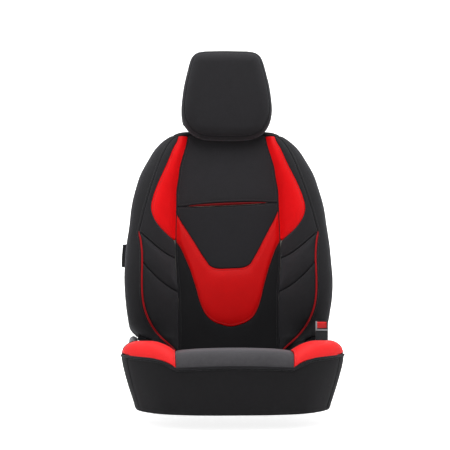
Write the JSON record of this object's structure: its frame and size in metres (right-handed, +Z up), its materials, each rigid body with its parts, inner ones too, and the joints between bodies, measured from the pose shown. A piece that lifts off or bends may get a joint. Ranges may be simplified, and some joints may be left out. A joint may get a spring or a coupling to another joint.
{
  "type": "seat cover set",
  "caption": "Sports-style front seat with a fitted cover set: red shoulder, V and corner panels on black cloth, sliding headrest, reclining back, belt buckle and floor rails.",
  "frame": {"origin": "on the floor, at the middle of the underside of the tie plate that joins the two floor rails", "axes": "+Z up, the seat faces -Y, +X points to the buckle side"},
  "size_m": [0.5612, 0.6591, 0.9327],
  "materials": {
    "rail_steel": "zinc-plated, satin",
    "frame_steel": "black e-coat, satin",
    "foam": "moulded polyurethane foam, matt",
    "cover_black": "black woven cloth, matt",
    "cover_mesh": "dark grey spacer mesh, matt",
    "cover_red": "red grained leatherette, satin",
    "piping_red": "dark red leatherette piping, satin",
    "label": "blank woven label",
    "post_chrome": "chrome plated",
    "plastic_black": "fine grain",
    "button_red": "red, semi-gloss",
    "wheel_grey": "light grey, ribbed, satin"
  },
  "bodies": {
    "track": {"lower_rail_left": "rail_steel", "lower_rail_right": "rail_steel", "track_tie": "rail_steel"},
    "recline_wheel_body": {"recline_wheel": "wheel_grey"},
    "buckle_button_body": {"buckle_button": "button_red"},
    "headrest_button_body": {"headrest_release_button": "plastic_black"},
    "headrest": {"headrest_rod": "post_chrome", "headrest_core": "foam", "headrest_cover_front": "cover_black", "headrest_cover_rear": "cover_black", "headrest_cover_band": "cover_black"},
    "backrest": {"frame_side_left": "frame_steel", "frame_side_right": "frame_steel", "frame_top": "frame_steel", "frame_bottom": "frame_steel", "back_foam_center": "foam", "back_foam_bolster_left": "foam", "back_foam_bolster_right": "foam", "back_center_upper": "cover_mesh", "back_center_insert": "cover_mesh", "chest_slit_trim": "piping_red", "back_v_panel": "cover_red", "back_lumbar_panel": "cover_mesh", "shoulder_panel_left": "cover_red", "shoulder_panel_right": "cover_red", "bolster_upper_left": "cover_black", "bolster_upper_right": "cover_black", "bolster_mid_left": "cover_black", "bolster_mid_right": "cover_black", "bolster_lower_left": "cover_black", "bolster_lower_right": "cover_black", "piping_left": "piping_red", "piping_right": "piping_red", "side_gusset_left": "cover_black", "side_gusset_right": "cover_black", "top_gusset": "cover_black", "rear_panel": "cover_black", "side_tag": "label", "headrest_guide_left": "plastic_black", "headrest_guide_right": "plastic_black"},
    "base": {"upper_rail_left": "frame_steel", "upper_rail_right": "frame_steel", "seat_pan": "frame_steel", "recliner_bracket_left": "frame_steel", "recliner_bracket_right": "frame_steel", "buckle_stalk": "frame_steel", "cushion_foam_center": "foam", "cushion_foam_bolster_left": "foam", "cushion_foam_bolster_right": "foam", "cushion_front_skirt": "cover_black", "cushion_side_skirt_left": "cover_black", "cushion_side_skirt_right": "cover_black", "cushion_tuck_flap": "cover_black", "cushion_bolster_cover_left": "cover_black", "cushion_bolster_cover_right": "cover_black", "cushion_center_cover": "cover_mesh", "cushion_corner_left": "cover_red", "cushion_corner_right": "cover_red", "buckle_housing": "plastic_black"}
  },
  "joints": [
    {"name": "track_slide", "type": "slide", "parent": "track", "child": "base", "axis": [0, 1, 0], "range_m": [-0.12, 0.08]},
    {"name": "recline", "type": "hinge", "parent": "base", "child": "backrest", "pos_m": [0, 0.19, 0.095], "axis": [-1, 0, 0], "range_deg": [-10, 50]},
    {"name": "recline_wheel_turn", "type": "hinge", "parent": "base", "child": "recline_wheel_body", "pos_m": [-0.253, 0.19, 0.095], "axis": [-1, 0, 0], "range_deg": [-240, 1200]},
    {"name": "headrest_height", "type": "slide", "parent": "backrest", "child": "headrest", "axis": [0, 0.2588, 0.9659], "range_m": [0, 0.06]},
    {"name": "headrest_button_press", "type": "slide", "parent": "backrest", "child": "headrest_button_body", "axis": [1, 0, 0], "range_m": [0, 0.0025], "stiffness_N_per_m": 600, "springref_m": -0.003},
    {"name": "buckle_button_press", "type": "slide", "parent": "base", "child": "buckle_button_body", "axis": [0, 0, -1], "range_m": [0, 0.005], "stiffness_N_per_m": 600, "springref_m": -0.004}
  ],
  "couplings": [
    {"joint": "recline_wheel_turn", "follows": "recline", "ratio": 24}
  ]
}
